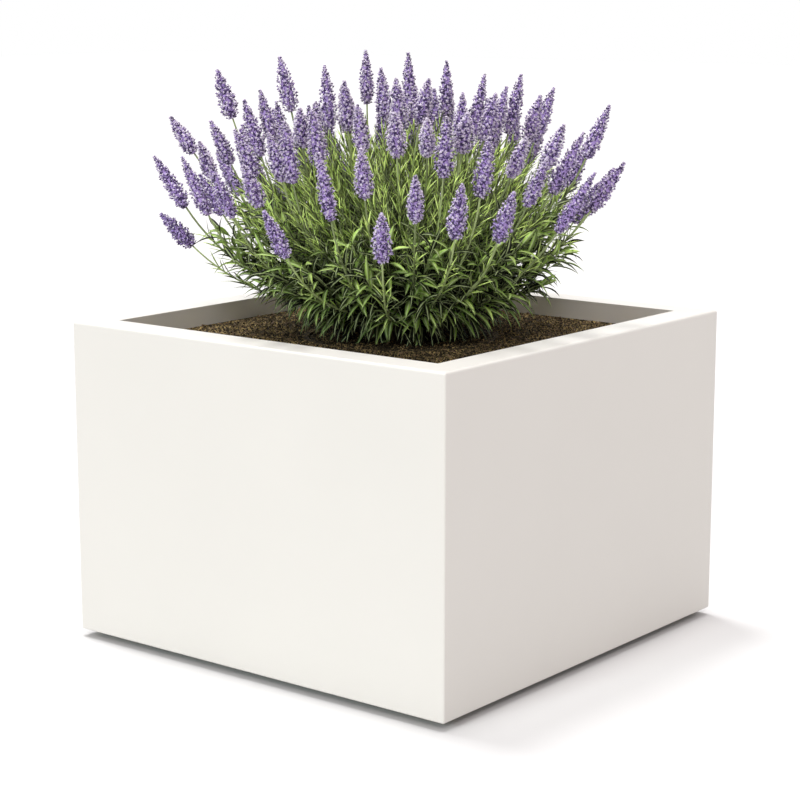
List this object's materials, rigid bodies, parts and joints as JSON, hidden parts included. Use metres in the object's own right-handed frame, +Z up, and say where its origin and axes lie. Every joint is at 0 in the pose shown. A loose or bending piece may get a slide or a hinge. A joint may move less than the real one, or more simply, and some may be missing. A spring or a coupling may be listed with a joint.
{
  "type": "planted polyester planter",
  "caption": "Square floor planter in off-white moulded polyester with a flat inward rim, levelling feet and screw-in drain plugs, filled with soil and planted with a clump of lavender.",
  "frame": {"origin": "middle of the planter on the ground, at the underside of the feet", "axes": "+Z up, -Y towards the front, +X to the right seen from the front"},
  "size_m": [0.6, 0.6005, 0.7612],
  "materials": {
    "shell_gelcoat": "satin",
    "raw_laminate": "satin",
    "core_wood": "matte",
    "zinc_steel": "satin",
    "insert_brass": "satin",
    "foot_plastic": "satin",
    "drain_plastic": "satin",
    "seal_rubber": "matte",
    "clay_granules": "matte",
    "fleece": "matte",
    "potting_soil": "matte",
    "root_soil": "matte",
    "woody_stem": "matte",
    "leaf_green": "matte",
    "stem_green": "matte",
    "flower_lilac": "matte"
  },
  "bodies": {
    "planter": {"shell": "shell_gelcoat", "base_panel": "raw_laminate", "base_tabbing": "raw_laminate", "base_rib_front": "raw_laminate", "base_rib_back": "raw_laminate", "rim_core_front": "core_wood", "rim_core_back": "core_wood", "rim_core_left": "core_wood", "rim_core_right": "core_wood", "foot_block_front_left": "core_wood", "foot_block_front_right": "core_wood", "foot_block_back_left": "core_wood", "foot_block_back_right": "core_wood", "foot_inserts": "insert_brass", "drain_bush_left": "drain_plastic", "drain_nut_left": "drain_plastic", "drain_bush_right": "drain_plastic", "drain_nut_right": "drain_plastic", "drain_gasket_left": "seal_rubber", "drain_gasket_right": "seal_rubber", "drainage_granules": "clay_granules", "filter_fleece": "fleece", "potting_soil": "potting_soil"},
    "plant": {"root_ball": "root_soil", "plant_crown": "woody_stem", "foliage": "leaf_green", "flower_stems": "stem_green", "flower_spikes": "flower_lilac"},
    "foot_pad_front_left": {"foot_pad_front_left": "foot_plastic"},
    "foot_stud_front_left": {"foot_stud_front_left": "zinc_steel"},
    "foot_pad_front_right": {"foot_pad_front_right": "foot_plastic"},
    "foot_stud_front_right": {"foot_stud_front_right": "zinc_steel"},
    "foot_pad_back_left": {"foot_pad_back_left": "foot_plastic"},
    "foot_stud_back_left": {"foot_stud_back_left": "zinc_steel"},
    "foot_pad_back_right": {"foot_pad_back_right": "foot_plastic"},
    "foot_stud_back_right": {"foot_stud_back_right": "zinc_steel"},
    "plug_seal_left": {"plug_seal_left": "seal_rubber"},
    "drain_plug_left": {"drain_plug_left": "drain_plastic"},
    "plug_seal_right": {"plug_seal_right": "seal_rubber"},
    "drain_plug_right": {"drain_plug_right": "drain_plastic"}
  },
  "joints": [
    {"name": "plant_lift", "type": "slide", "parent": "planter", "child": "plant", "axis": [0, 0, 1], "range_m": [0, 0.35]},
    {"name": "foot_front_left_level", "type": "slide", "parent": "planter", "child": "foot_pad_front_left", "axis": [0, 0, -1], "range_m": [0, 0.012]},
    {"name": "foot_front_left_turn", "type": "hinge", "parent": "foot_pad_front_left", "child": "foot_stud_front_left", "pos_m": [-0.238, -0.238, 0.0162], "axis": [0, 0, -1], "range_deg": [0, 2880]},
    {"name": "foot_front_right_level", "type": "slide", "parent": "planter", "child": "foot_pad_front_right", "axis": [0, 0, -1], "range_m": [0, 0.012]},
    {"name": "foot_front_right_turn", "type": "hinge", "parent": "foot_pad_front_right", "child": "foot_stud_front_right", "pos_m": [0.238, -0.238, 0.0162], "axis": [0, 0, -1], "range_deg": [0, 2880]},
    {"name": "foot_back_left_level", "type": "slide", "parent": "planter", "child": "foot_pad_back_left", "axis": [0, 0, -1], "range_m": [0, 0.012]},
    {"name": "foot_back_left_turn", "type": "hinge", "parent": "foot_pad_back_left", "child": "foot_stud_back_left", "pos_m": [-0.238, 0.238, 0.0162], "axis": [0, 0, -1], "range_deg": [0, 2880]},
    {"name": "foot_back_right_level", "type": "slide", "parent": "planter", "child": "foot_pad_back_right", "axis": [0, 0, -1], "range_m": [0, 0.012]},
    {"name": "foot_back_right_turn", "type": "hinge", "parent": "foot_pad_back_right", "child": "foot_stud_back_right", "pos_m": [0.238, 0.238, 0.0162], "axis": [0, 0, -1], "range_deg": [0, 2880]},
    {"name": "plug_left_travel", "type": "slide", "parent": "planter", "child": "plug_seal_left", "axis": [0, 0, -1], "range_m": [0, 0.01]},
    {"name": "plug_left_turn", "type": "hinge", "parent": "plug_seal_left", "child": "drain_plug_left", "pos_m": [-0.13, 0, 0.0323], "axis": [0, 0, -1], "range_deg": [0, 1800]},
    {"name": "plug_right_travel", "type": "slide", "parent": "planter", "child": "plug_seal_right", "axis": [0, 0, -1], "range_m": [0, 0.01]},
    {"name": "plug_right_turn", "type": "hinge", "parent": "plug_seal_right", "child": "drain_plug_right", "pos_m": [0.13, 0, 0.0323], "axis": [0, 0, -1], "range_deg": [0, 1800]}
  ],
  "couplings": [
    {"joint": "foot_front_left_turn", "follows": "foot_front_left_level", "rad_per_m": 4188.8},
    {"joint": "foot_front_right_turn", "follows": "foot_front_right_level", "rad_per_m": 4188.8},
    {"joint": "foot_back_left_turn", "follows": "foot_back_left_level", "rad_per_m": 4188.8},
    {"joint": "foot_back_right_turn", "follows": "foot_back_right_level", "rad_per_m": 4188.8},
    {"joint": "plug_left_travel", "follows": "plug_left_turn", "m_per_rad": 0.0003183},
    {"joint": "plug_right_travel", "follows": "plug_right_turn", "m_per_rad": 0.0003183}
  ]
}
